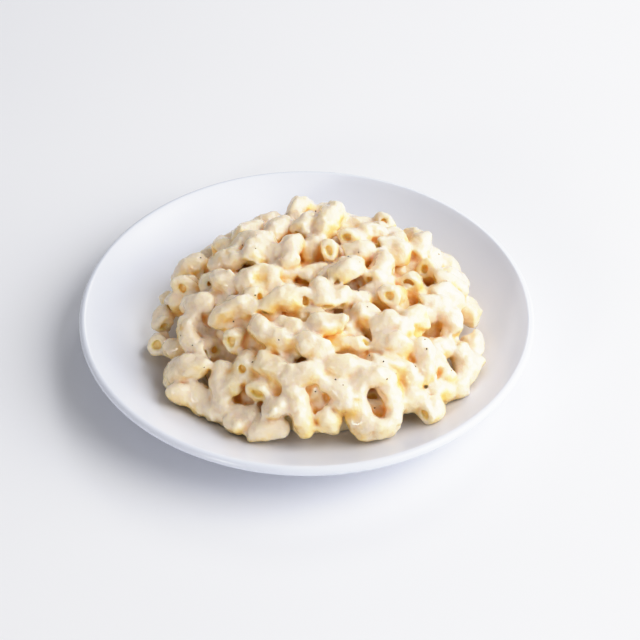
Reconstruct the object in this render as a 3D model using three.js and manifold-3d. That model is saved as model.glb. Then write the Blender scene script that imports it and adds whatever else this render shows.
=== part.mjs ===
// Macaroni cheese heaped on a round white coupe plate.
// Millimetres, +Z up. The origin is the middle of the plate's foot ring, on the table.

import * as THREE from 'three';
import { mergeVertices } from 'three/addons/utils/BufferGeometryUtils.js';
import Module from 'manifold-3d';

// Plate: a coupe, flat in the middle and swept up to a rounded lip.
const PLATE_RADIUS = 110;
const PLATE_WALL = 4.6;
const LIP_RADIUS = PLATE_WALL / 2;
const LIP_CENTRE_Z = 21.7;
const WELL_Z = 7;
const WELL_RADIUS = 52;
const SWEEP_RISE = 18.7;
const SWEEP_POWER = 1.9;
const FOOT_OUTER = 62.3;
const FOOT_INNER = 56.6;
const FOOT_EASE = 0.7;
const PLATE_SEGMENTS = 48;

// Where the plate's section has its corners: radii under and over the sweep, degrees round the lip.
const RADII_UNDER = [64, 72, 80, 88, 96, 103];
const DEGREES_ROUND_LIP = [-55, -25, 5, 35, 65, 90, 115];
const RADII_OVER = [101, 95, 88, 80, 72, 64, 57, WELL_RADIUS];

// Heap: the mound that the middles of the uppermost noodles lie on, set off the plate's centre.
// Its edge waves by this much, twice and three times round, from these angles in radians.
const HEAP_X = 4;
const HEAP_Y = -6;
const HEAP_RADIUS = 75;
const HEAP_WAVE = 1.5;
const WAVE_TWICE_FROM = 2.4;
const WAVE_THRICE_FROM = 0.33;
const HEAP_RISE = 41.8;
const HEAP_FULLNESS = 0.62;

// Noodles: short bent tubes in a coat of sauce, each with a blind mouth at its first end.
const NOODLE_RADIUS = 5;
const NOODLE_SPREAD = 0.07;
const MOUTH_RADIUS = 1.9;
const MOUTH_DEPTH = 3.5;
const DEEPEST_SHARE = 0.3;
const NOODLE_SIDES = 6;
const LEAST_STEPS = 2;
const STEP_BEND = 1.1;
const LEAST_BOW = 0.5;

// The core under the noodles, and the clearance that all food keeps to the plate.
const CORE_BELOW = 3.4;
const CORE_INSET = 6.5;
const CORE_RINGS = 6;
const CORE_SEGMENTS = 24;
const CLEARANCE = 0.35;
const SLIVER = 0.05;
const SAME_POINT = 1e-4;

// Fillers: noodles laid by rule wherever the placed ones leave room, and clear of a point a little
// way out of each placed one's first mouth.
const SEED = 20817;
const FILLER_SPOTS = 420;
const FILLER_EDGE = 4;
const FILLER_ROOM = 9.2;
const FILLER_LENGTH = [13, 19];
const FILLER_BOW = [2.5, 6];
const FILLER_SINK = [-3, -0.5];
const FILLER_TILT = [0, 4.5];
const MOUTH_AHEAD = 5;
const MOUTH_ROOM = 7.6;
const GOLDEN_ANGLE = Math.PI * (3 - Math.sqrt(5));
const SAMPLES = 7;
const SLOPE_STEP = 2;

// Every noodle that shows from the front: its first end, with the mouth (x, y, lift above the
// mound), its second end (x, y, lift), then how far its middle bows left of that way, and upwards.
const PLACED = [
  // crown and back edge
  [-7, 39, 1, 1, 49, 2, 0, 7],
  [14, 37, 9, 7, 19, 1, 0, 3],
  [4, 47, 2, 17, 43, 2, 0, 3],
  [-4, 21, 2, 4, 33, 0, 0, 3],
  [20, 44, -1, 30, 40, -1, 0, 3],
  [37, 40, 8, 39, 51, 0, 0, 0],
  [27, 36, -1, 37, 32, 0, 0, 2],
  [19, 16, 3, 26, 28, -4, 0, 1],
  [25, 22, 1, 36, 23, 0, 2, 3],
  // left shoulder
  [-32, 21, 3, -23, 35, -1, 0, 2],
  [-29, 36, -1, -12, 41, -3, 0, 3],
  [-57, 25, -6, -45, 35, -6, 0, 1],
  [-41, 43, -7, -28, 50, -7, 0, 1],
  [-20, 52, -7, -6, 56, -7, 0, 1],
  [-39, 33, -4, -42, 20, 1, 0, 2],
  [-34, 9, 0, -17, 12, 0, 5, 4],
  [-26, 0, 2, -22, 13, 2, 0, 2],
  [-8, -6, 1, -6, 13, 2, 1, 3],
  [-44, 6, 0, -31, 2, 1, 1, 3],
  [-41, -7, 1, -33, -13, -2, 0, 3],
  [-61, 13, 0, -50, 17, -2, 0, 3],
  [-18, 22, 0, -8, 31, 0, 0, 3],
  // left side
  [-59, -1, 4, -54, 9, -7, 0, 0],
  [-45, -9, 2, -46, 5, -7, 0, 0],
  [-31, -15, 1, -12, -11, 2, 2, 2],
  [-22, -25, 3, -30, -16, -6, 0, 0],
  [-66, -5, 1, -56, 2, -6, 0, 0],
  [-55, -14, 0, -44, -20, 0, 0, 4],
  [-41, -33, 1, -23, -33, 1, 4, 4],
  [-70, -12, 6, -68, -1, 0, 0, 0],
  [-71, -27, 6, -69, -17, 0, 0, 0],
  [-46, -42, 0, -50, -21, 2, 7, 3],
  // middle
  [-19, -33, 1, -3, -32, 1, 4, 3],
  [9, -33, 3, 6, -18, 0, 0, 1],
  [0, -32, 3, -2, -22, -7, 0, 0],
  [16, -30, 0, 14, -19, -1, 0, 1],
  [10, 2, 4, 12, 13, -5, 0, 0],
  [0, -9, -6, 8, 0, -6, 0, 1],
  [17, -23, -5, 29, -22, -5, 0, 2],
  [14, -14, 2, 24, -8, 1, 0, 4],
  [19, 3, 1, 29, 5, 0, 0, 3],
  [4, -43, 2, 16, -41, 1, 0, 3],
  [29, -48, 3, 10, -48, 0, 1, -4],
  [-1, -50, 2, 9, -56, 1, 0, 4],
  [22, -30, -2, 32, -34, -4, 0, 2],
  [-3, -45, 1, -12, -40, -1, 0, 2],
  // right shoulder and side
  [30, -14, 1, 36, 7, 1, -1, 3],
  [52, 19, 2, 49, 36, 1, -3, 6],
  [55, 30, 0, 62, 21, -2, 0, 3],
  [48, -9, 3, 51, 2, -6, 0, 0],
  [39, -24, 5, 43, -13, -5, 0, 0],
  [57, 7, 2, 62, 17, -5, 0, 0],
  [35, 14, 1, 46, 9, 0, 2, 3],
  [40, 28, 2, 45, 16, 1, 0, 3],
  [62, 32, 0, 71, 23, 0, 0, 3],
  [74, 20, 0, 66, 10, 0, 0, 3],
  [62, 2, 1, 74, 5, 0, 0, 3],
  [58, -10, 1, 72, -10, 0, 2, 3],
  [77, 6, -1, 77, -9, 0, 2, 1],
  [54, -19, 2, 69, -27, 1, 4, 3],
  [71, -31, 1, 70, -49, -1, 3, 2],
  [78, -16, 0, 77, -28, -1, 1, 2],
  [78, -32, 1, 76, -44, -2, 1, 2],
  [33, -40, 1, 46, -41, 1, 4, 4],
  [34, -45, 1, 46, -45, 1, -1, 3],
  [51, -43, 2, 54, -55, 0, 0, 3],
  [60, -44, 0, 64, -55, 0, 0, 3],
  [57, -57, 1, 66, -51, -2, 0, 3],
  [73, -47, 0, 69, -57, -2, 0, 2],
  // front, left of the middle
  [-34, -47, 4, -29, -37, -8, 0, 0],
  [-29, -60, 5, -24, -50, -7, 0, 0],
  [-22, -70, 4, -17, -59, -8, 0, 0],
  [-23, -40, 2, -7, -53, 2, 0, 3],
  [-20, -57, 2, -11, -61, 0, 0, 3],
  [-9, -64, 2, 7, -60, 1, -3, 3],
  [-61, -45, 0, -45, -51, 1, 4, 5],
  [-43, -66, -2, -62, -60, -3, -4, 6],
  [-50, -58, -5, -42, -62, -6, 0, 1],
  [-38, -50, -1, -36, -68, -2, 0, 2],
  [-16, -75, 1, -7, -74, -1, 0, 3],
  [-31, -69, -5, -21, -73, -5, 0, 1],
  [-31, -74, -1, -46, -68, -2, -3, 3],
  [-35, -72, 0, -28, -80, -4, 0, 2],
  [-24, -78, -2, -9, -79, -2, 0, 3],
  // front, right of the middle
  [-6, -69, 2, 1, -81, -3, 0, 3],
  [7, -77, 0, 14, -80, -3, 0, 2],
  [8, -67, 2, 19, -75, 0, 2, 3],
  [10, -60, 2, 25, -58, 1, -2, 3],
  [24, -65, 2, 31, -81, -3, -5, 2],
  [36, -64, 2, 35, -82, -3, 4, 2],
  [24, -63, 1, 38, -62, 1, 0, 3],
  [23, -79, -1, 38, -84, -3, 1, 3],
  [30, -66, -6, 31, -77, -7, 0, 0],
  [29, -57, 1, 49, -62, 0, 5, 3],
  [55, -69, 0, 55, -60, -7, 0, 0],
  [44, -66, -2, 53, -61, 1, 0, 3],
  [54, -72, -5, 63, -65, -4, 0, 2],
];

const wasm = await Module();
wasm.setup();

// A seeded draw between 0 and 1, the same row of numbers on every run (mulberry32).
function seededDraw(seed) {
  let state = seed;
  return () => {
    state = (state + 0x6d2b79f5) | 0;
    let mixed = Math.imul(state ^ (state >>> 15), 1 | state);
    mixed = (mixed + Math.imul(mixed ^ (mixed >>> 7), 61 | mixed)) ^ mixed;
    return ((mixed ^ (mixed >>> 14)) >>> 0) / 4294967296;
  };
}

const draw = seededDraw(SEED);
const between = ([low, high]) => low + (high - low) * draw();

// Height of the plate's inner face at a distance from its axis: flat, then a power-law sweep.
function plateZ(radius) {
  const past = Math.max(0, (radius - WELL_RADIUS) / (PLATE_RADIUS - WELL_RADIUS));
  return WELL_Z + SWEEP_RISE * past ** SWEEP_POWER;
}

// Slope of the inner face, as the rise for each millimetre outwards.
function plateSlope(radius) {
  return (plateZ(radius + SLOPE_STEP) - plateZ(radius - SLOPE_STEP)) / (2 * SLOPE_STEP);
}

// The heap's reach from its own middle, which waves gently round it.
function heapReach(angle) {
  const twice = Math.cos(2 * (angle - WAVE_TWICE_FROM));
  const thrice = Math.cos(3 * (angle - WAVE_THRICE_FROM));
  return HEAP_RADIUS + HEAP_WAVE * (twice + thrice);
}

// Height of the mound that the uppermost noodles' middles lie on.
function moundZ(x, y) {
  const across = Math.hypot(x - HEAP_X, y - HEAP_Y);
  const share = across / heapReach(Math.atan2(y - HEAP_Y, x - HEAP_X));
  const dome = Math.max(0, 1 - share * share) ** HEAP_FULLNESS;
  return plateZ(Math.hypot(x, y)) + NOODLE_RADIUS + HEAP_RISE * dome;
}

// The mound's upward normal, from its slope over a short step each way.
function moundNormal(x, y) {
  const alongX = moundZ(x + SLOPE_STEP, y) - moundZ(x - SLOPE_STEP, y);
  const alongY = moundZ(x, y + SLOPE_STEP) - moundZ(x, y - SLOPE_STEP);
  return new THREE.Vector3(-alongX, -alongY, 2 * SLOPE_STEP).normalize();
}

// A noodle's middle line: the round arc through both ends whose middle stands off the straight
// line between them by the bow. It returns the arc's three directions, centre, size and length.
function noodleArc([ax, ay, liftA, bx, by, liftB, side, up]) {
  const first = new THREE.Vector3(ax, ay, moundZ(ax, ay) + liftA);
  const second = new THREE.Vector3(bx, by, moundZ(bx, by) + liftB);
  const middle = first.clone().lerp(second, 0.5);
  const chord = first.distanceTo(second);
  const along = second.clone().sub(first).normalize();
  const outward = moundNormal(middle.x, middle.y);
  outward.addScaledVector(along, -outward.dot(along)).normalize();
  const left = new THREE.Vector3().crossVectors(outward, along);
  const bowed = left.multiplyScalar(side).addScaledVector(outward, up);
  const bow = Math.max(bowed.length(), LEAST_BOW);
  const bulge = bowed.length() > 0 ? bowed.normalize() : outward;
  const radius = (chord * chord / 4 + bow * bow) / (2 * bow);
  const half = 2 * Math.atan2(2 * bow, chord);
  const centre = middle.clone().addScaledVector(bulge, bow - radius);
  const sideways = new THREE.Vector3().crossVectors(bulge, along);
  return { along, bulge, sideways, centre, radius, half, length: 2 * half * radius };
}

// A point in a noodle: how far along its arc (0..1), and its offsets out of the bend and sideways.
// Where the tube would come too near the plate, the whole slice is raised clear of it.
function noodlePoint(arc, share, out, across, tube) {
  const angle = arc.half * (2 * share - 1);
  const outDirection = arc.along.clone().multiplyScalar(Math.sin(angle));
  outDirection.addScaledVector(arc.bulge, Math.cos(angle));
  const onLine = arc.centre.clone().addScaledVector(outDirection, arc.radius);
  const reach = Math.hypot(onLine.x, onLine.y);
  const room = (tube + CLEARANCE) * Math.hypot(1, plateSlope(reach));
  const raise = Math.max(0, plateZ(reach) + room - onLine.z);
  const point = onLine.clone().addScaledVector(outDirection, out);
  point.addScaledVector(arc.sideways, across);
  point.z += raise;
  return point;
}

// Middle points of a noodle, for keeping the next ones off it.
function noodleSamples(arc) {
  const points = [];
  for (let i = 0; i < SAMPLES; i += 1) {
    points.push(noodlePoint(arc, i / (SAMPLES - 1), 0, 0, NOODLE_RADIUS));
  }
  return points;
}

// A point a little way out of a noodle's first mouth.
function pointAhead(arc) {
  return noodlePoint(arc, -MOUTH_AHEAD / arc.length, 0, 0, NOODLE_RADIUS);
}

// Noodles laid by rule: spots on a sunflower spiral, from the heap's edge inwards, each skipped if
// a noodle already lies there, or if it would run across one of the mouths.
function fillers(taken, mouths) {
  const rows = [];
  for (let i = FILLER_SPOTS - 1; i >= 0; i -= 1) {
    const angle = i * GOLDEN_ANGLE;
    const away = (heapReach(angle) - FILLER_EDGE) * Math.sqrt((i + 0.5) / FILLER_SPOTS);
    const heading = 2 * Math.PI * draw();
    const length = between(FILLER_LENGTH);
    const bow = between(FILLER_BOW);
    const lean = Math.PI * draw();
    const sink = between(FILLER_SINK);
    const tilt = between(FILLER_TILT);
    const x = HEAP_X + away * Math.cos(angle);
    const y = HEAP_Y + away * Math.sin(angle);
    const spot = new THREE.Vector3(x, y, moundZ(x, y) + sink);
    if (taken.some((point) => point.distanceTo(spot) < FILLER_ROOM)) continue;
    const flat = moundNormal(x, y).z;
    const stepX = (length / 2) * Math.cos(heading) * flat;
    const stepY = (length / 2) * Math.sin(heading) * flat;
    const row = [x - stepX, y - stepY, sink + tilt, x + stepX, y + stepY, sink - tilt];
    row.push(bow * Math.cos(lean), bow * Math.sin(lean));
    const samples = noodleSamples(noodleArc(row));
    const crosses = (mouth) => samples.some((point) => point.distanceTo(mouth) < MOUTH_ROOM);
    if (mouths.some(crosses)) continue;
    rows.push(row);
    taken.push(...samples);
  }
  return rows;
}

// One noodle: a lathed tube with a blind mouth at its first end, bent along its arc.
function noodleGeometry(row) {
  const arc = noodleArc(row);
  const tube = NOODLE_RADIUS * (1 + NOODLE_SPREAD * (2 * draw() - 1));
  const turn = 2 * Math.PI * draw();
  const depth = Math.min(MOUTH_DEPTH / arc.length, DEEPEST_SHARE);
  const steps = Math.max(LEAST_STEPS, Math.ceil((2 * arc.half) / STEP_BEND));
  const profile = [
    new THREE.Vector2(0, depth),
    new THREE.Vector2(MOUTH_RADIUS, depth),
    new THREE.Vector2(MOUTH_RADIUS, 0),
  ];
  for (let i = 0; i <= steps; i += 1) {
    profile.push(new THREE.Vector2(tube, i / steps));
  }
  profile.push(new THREE.Vector2(0, 1));
  const geometry = new THREE.LatheGeometry(profile, NOODLE_SIDES, turn);
  const position = geometry.attributes.position;
  for (let i = 0; i < position.count; i += 1) {
    const out = position.getX(i);
    const across = position.getZ(i);
    const point = noodlePoint(arc, position.getY(i), out, across, tube);
    position.setXYZ(i, point.x, point.y, point.z);
  }
  return geometry;
}

// The core: a smaller mound inside the noodles, whose underside follows the plate.
function coreGeometry() {
  const vertices = [];
  const triangles = [];
  const ringAt = (ring, step) => {
    const angle = (step / CORE_SEGMENTS) * 2 * Math.PI;
    const away = (heapReach(angle) - CORE_INSET) * Math.sqrt(ring / CORE_RINGS);
    return [HEAP_X + away * Math.cos(angle), HEAP_Y + away * Math.sin(angle)];
  };
  const topAt = (x, y) => moundZ(x, y) - CORE_BELOW;
  const bottomAt = (x, y) => plateZ(Math.hypot(x, y)) + CLEARANCE;
  for (const heightAt of [topAt, bottomAt]) {
    vertices.push(HEAP_X, HEAP_Y, heightAt(HEAP_X, HEAP_Y));
    for (let ring = 1; ring <= CORE_RINGS; ring += 1) {
      for (let step = 0; step < CORE_SEGMENTS; step += 1) {
        const [x, y] = ringAt(ring, step);
        vertices.push(x, y, heightAt(x, y));
      }
    }
  }
  const layer = 1 + CORE_RINGS * CORE_SEGMENTS;
  const at = (ring, step) => 1 + (ring - 1) * CORE_SEGMENTS + (step % CORE_SEGMENTS);
  for (let step = 0; step < CORE_SEGMENTS; step += 1) {
    triangles.push(0, at(1, step), at(1, step + 1));
    triangles.push(layer, layer + at(1, step + 1), layer + at(1, step));
    for (let ring = 1; ring < CORE_RINGS; ring += 1) {
      const inner = at(ring, step);
      const innerNext = at(ring, step + 1);
      const outer = at(ring + 1, step);
      const outerNext = at(ring + 1, step + 1);
      triangles.push(inner, outer, outerNext, inner, outerNext, innerNext);
      triangles.push(layer + inner, layer + outerNext, layer + outer);
      triangles.push(layer + inner, layer + innerNext, layer + outerNext);
    }
    const edge = at(CORE_RINGS, step);
    const edgeNext = at(CORE_RINGS, step + 1);
    triangles.push(edge, layer + edge, layer + edgeNext, edge, layer + edgeNext, edgeNext);
  }
  const geometry = new THREE.BufferGeometry();
  geometry.setAttribute('position', new THREE.Float32BufferAttribute(vertices, 3));
  geometry.setIndex(triangles);
  return geometry;
}

// A closed three.js geometry as a manifold solid.
function solidOf(geometry) {
  const bare = geometry.clone();
  bare.deleteAttribute('normal');
  bare.deleteAttribute('uv');
  const merged = mergeVertices(bare, SAME_POINT);
  const vertProperties = new Float32Array(merged.attributes.position.array);
  const triVerts = new Uint32Array(merged.index.array);
  return new wasm.Manifold(new wasm.Mesh({ numProp: 3, vertProperties, triVerts }));
}

// A manifold solid as a three.js geometry.
function geometryOf(solid) {
  const mesh = solid.getMesh();
  const geometry = new THREE.BufferGeometry();
  geometry.setAttribute('position', new THREE.Float32BufferAttribute(mesh.vertProperties, 3));
  geometry.setIndex(new THREE.Uint32BufferAttribute(mesh.triVerts, 1));
  geometry.computeVertexNormals();
  return geometry;
}

// The core with all its noodles fused on, without any scrap that stands apart.
function heapGeometry() {
  const arcs = PLACED.map(noodleArc);
  const taken = arcs.flatMap(noodleSamples);
  const rows = [...PLACED, ...fillers(taken, arcs.map(pointAhead))];
  const solids = rows.map((row) => solidOf(noodleGeometry(row)));
  const fused = wasm.Manifold.union([solidOf(coreGeometry()), ...solids]).simplify(SLIVER);
  const bodies = fused.decompose();
  bodies.sort((one, other) => other.volume() - one.volume());
  return geometryOf(bodies[0]);
}

// The plate's section, from the middle of its underside round the lip to the middle of the well.
function plateGeometry() {
  const section = [
    new THREE.Vector2(0, WELL_Z - PLATE_WALL),
    new THREE.Vector2(FOOT_INNER - 2 * FOOT_EASE, WELL_Z - PLATE_WALL),
    new THREE.Vector2(FOOT_INNER, FOOT_EASE),
    new THREE.Vector2(FOOT_INNER + FOOT_EASE, 0),
    new THREE.Vector2(FOOT_OUTER - FOOT_EASE, 0),
    new THREE.Vector2(FOOT_OUTER, FOOT_EASE),
  ];
  for (const radius of RADII_UNDER) {
    const slope = plateSlope(radius);
    section.push(new THREE.Vector2(radius, plateZ(radius) - PLATE_WALL * Math.hypot(1, slope)));
  }
  for (const degrees of DEGREES_ROUND_LIP) {
    const angle = THREE.MathUtils.degToRad(degrees);
    const x = PLATE_RADIUS - LIP_RADIUS + LIP_RADIUS * Math.cos(angle);
    const z = LIP_CENTRE_Z + LIP_RADIUS * Math.sin(angle);
    section.push(new THREE.Vector2(x, z));
  }
  for (const radius of RADII_OVER) {
    section.push(new THREE.Vector2(radius, plateZ(radius)));
  }
  section.push(new THREE.Vector2(0, WELL_Z));
  const geometry = new THREE.LatheGeometry(section, PLATE_SEGMENTS);
  geometry.rotateX(Math.PI / 2);
  return geometry;
}

const porcelain = new THREE.MeshStandardMaterial({
  color: 0xf1f1f3,
  roughness: 0.12,
  metalness: 0,
});
const saucedPasta = new THREE.MeshStandardMaterial({
  color: 0xf2dfb6,
  roughness: 0.35,
  metalness: 0,
});

const plate = new THREE.Mesh(plateGeometry(), porcelain);
plate.name = 'plate';
const heap = new THREE.Mesh(heapGeometry(), saucedPasta);
heap.name = 'macaroni_heap';

const dish = new THREE.Group();
dish.add(plate, heap);

export default dish;
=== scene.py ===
"""Macaroni cheese heaped on a round white coupe plate: the looks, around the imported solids.

Sizes are in millimetres until a mesh is written, in the same frame as the solids: the origin is the
middle of the plate's foot ring, on the table, with +Z up and -Y towards the diner.
"""

import math

import bpy
import numpy as np
import openvdb
from mathutils import Matrix, Vector
from mathutils.bvhtree import BVHTree


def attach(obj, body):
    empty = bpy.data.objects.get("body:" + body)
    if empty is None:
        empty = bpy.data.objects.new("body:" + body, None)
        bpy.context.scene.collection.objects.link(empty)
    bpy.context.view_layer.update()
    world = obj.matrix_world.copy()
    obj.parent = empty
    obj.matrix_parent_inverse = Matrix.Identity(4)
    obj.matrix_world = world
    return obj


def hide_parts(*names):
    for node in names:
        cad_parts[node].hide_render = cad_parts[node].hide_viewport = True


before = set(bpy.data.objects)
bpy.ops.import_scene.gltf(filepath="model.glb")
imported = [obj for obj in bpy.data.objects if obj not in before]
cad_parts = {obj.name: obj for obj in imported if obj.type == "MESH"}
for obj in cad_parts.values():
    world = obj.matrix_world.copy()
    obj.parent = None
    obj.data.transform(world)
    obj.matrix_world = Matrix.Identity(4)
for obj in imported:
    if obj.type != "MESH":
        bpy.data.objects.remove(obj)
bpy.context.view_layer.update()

MM = 0.001

# Guards against dividing by nothing and against the logarithm of nothing.
SHORTEST = 1e-9
TINY = 1e-12

# Plate: a coupe, flat in the middle and swept up to a rounded lip.
PLATE_RADIUS = 110.0
PLATE_WALL = 4.6
LIP_RADIUS = PLATE_WALL / 2
LIP_CENTRE_Z = 21.7
WELL_Z = 7.0
WELL_RADIUS = 52.0
SWEEP_RISE = 18.7
SWEEP_POWER = 1.9
FOOT_OUTER = 62.3
FOOT_INNER = 56.6
FOOT_EASE = 0.7
PLATE_SEGMENTS = 224

# The plate's section: a ring under its middle, the corner between its underside and the foot ring
# (eases in from the ring, drop), then radii (from, to, count) and turns for its curved stretches.
UNDERSIDE_RING = 30
FOOT_CORNER = ((3, 0), (1.6, 0.1), (1.1, 0.45))
FOOT_STEPS = 5
OUTER_FACE = (64.0, 104.5, 22)
LIP_TURN = (-58, 118, 15)
INNER_FACE = (103.5, WELL_RADIUS, 26)
WELL_RINGS = (44, 30, 15)

# Heap: the mound that the middles of the uppermost noodles lie on, set off the plate's centre.
HEAP_X = 4.0
HEAP_Y = -6.0
HEAP_RADIUS = 75.0
HEAP_WAVE = 1.5
WAVE_TWICE_FROM = 2.4
WAVE_THRICE_FROM = 0.33
HEAP_RISE = 41.8
HEAP_FULLNESS = 0.62
SLOPE_STEP = 2.0

# Noodles: short bent tubes in a coat of sauce. The placed ones have an open first end and a shut
# second end, and the others are open or shut by chance.
NOODLE_RADIUS = 5.0
NOODLE_SPREAD = 0.07
FLATTENING = 0.07
SLANT = 0.22
LEAST_BOW = 0.5
STRAIGHT = 0.01
CLEARANCE = 0.35
SHUT = 0.35
RIM_ROUNDING = 1.9
STUB_ROUNDING = 3.8
WARP = 0.55
WARP_CELL = 5.0

# Bores: the narrowest as a share of the radius, how deep they go in and how far they reach out,
# the wall that stays between a bore and the next noodle, and the rounding of its rim.
BORE_RADIUS = 2.0
NARROWEST = 0.75
BORE_DEPTH = 2.2
BORE_REACH = 1.6
BORE_WALL = 0.4
BORE_ROUNDING = 0.45

# Noodles laid by rule wherever the placed ones leave room. First come those that the solids have
# too: number of spots, room around each, ranges of length, bow, sinking and tilt, and distance in
# from the edge. Each stays clear of a point ahead of every placed mouth.
SEED = 20817
FILLER_SPOTS = 420
FILLER_ROOM = 9.2
FILLER_LENGTH = (13.0, 19.0)
FILLER_BOW = (2.5, 6.0)
FILLER_SINK = (-3.0, -0.5)
FILLER_TILT = (0.0, 4.5)
FILLER_EDGE = 4.0
MOUTH_AHEAD = 5.0
MOUTH_ROOM = 7.6
GOLDEN_ANGLE = math.pi * (3 - math.sqrt(5))

# Points that stand for a noodle's line, and for its box, and its widest section as a share.
SAMPLES = 7
BOX_SAMPLES = 9
WIDEST = 1.08

# Then come two deeper layers of the scene's own: spots, distance in from the edge, room, sinking.
LAYERS = (
    (800, 12.0, 8.0, (-8.0, -5.0)),
    (700, 22.0, 8.0, (-13.0, -10.0)),
)

# The last ones lie on the plate along the heap's far side, between two directions, in two rows:
# how far in from the edge, and the sinking that brings them down to the plate there.
FAR_SIDE = (0.2, 2.94)
FAR_SPOTS = 60
FAR_ROOM = 8.2
FAR_ROWS = (
    (5.0, (-11.8, -11.2)),
    (11.0, (-18.8, -18.2)),
)

# The field around the heap: its voxels, its margin, and the distances given to what is far off.
VOXEL = 0.6
MARGIN = 4.6
FAR = 50.0
OUTSIDE = 5.0
BAND = 3.0
TRIANGLES = 196000

# The core under the noodles. Lumps are a cell and a height, here and for the sauce.
CORE_DEPTH = 10.0
CORE_INSET = 9.0
CORE_BLEND = 1.2
CORE_LUMPS = (6.0, 0.8)

# Sauce: how the noodles blend, how far apart it still bridges where it is thin and where it is
# thick, where it is which, and the coat and the lumps that it leaves.
BLEND = 0.35
THIN_BRIDGE = 0.35
THICK_BRIDGE = 1.7
SAUCE_MEAN = 0.45
SAUCE_PATCHES = ((13.0, 0.45), (3.6, 0.55))
SAUCE_COAT = 0.25
LUMPS = ((5.0, 0.26), (2.4, 0.26), (1.3, 0.15))

# What the finish reads: the sauce that hides a noodle, the width of a bore's edge, how far around
# a place is looked at, the fullness from which, and over which, a hollow or a crease deepens, and
# how far from a noodle its own tint and turn still count.
HIDING_SAUCE = 1.3
BORE_EDGE = 0.9
HOLLOW_REACH = 4.0
HOLLOW_RANGE = (0.40, 0.36)
CREASE_REACH = 1.8
CREASE_RANGE = (0.42, 0.26)
NOODLE_REACH = 3.0

# Pepper: the pixels of the front view where specks show, then how many more are strewn and how far
# out, and the specks' radius, flatness and swell.
SPECK_PIXELS = (
    (348, 256),
    (415, 366),
    (369, 355),
    (315, 391),
    (233, 321),
    (335, 379),
    (383, 361),
    (451, 370),
)
MORE_SPECKS = 30
SPECK_REACH = 72.0
SPECK_RADIUS = (0.25, 0.48)
SPECK_FLATNESS = 0.6
SPECK_SWELL = 0.2
SPECK_RINGS = 5
SPECK_SEGMENTS = 10
FALL_FROM = 110.0

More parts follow.
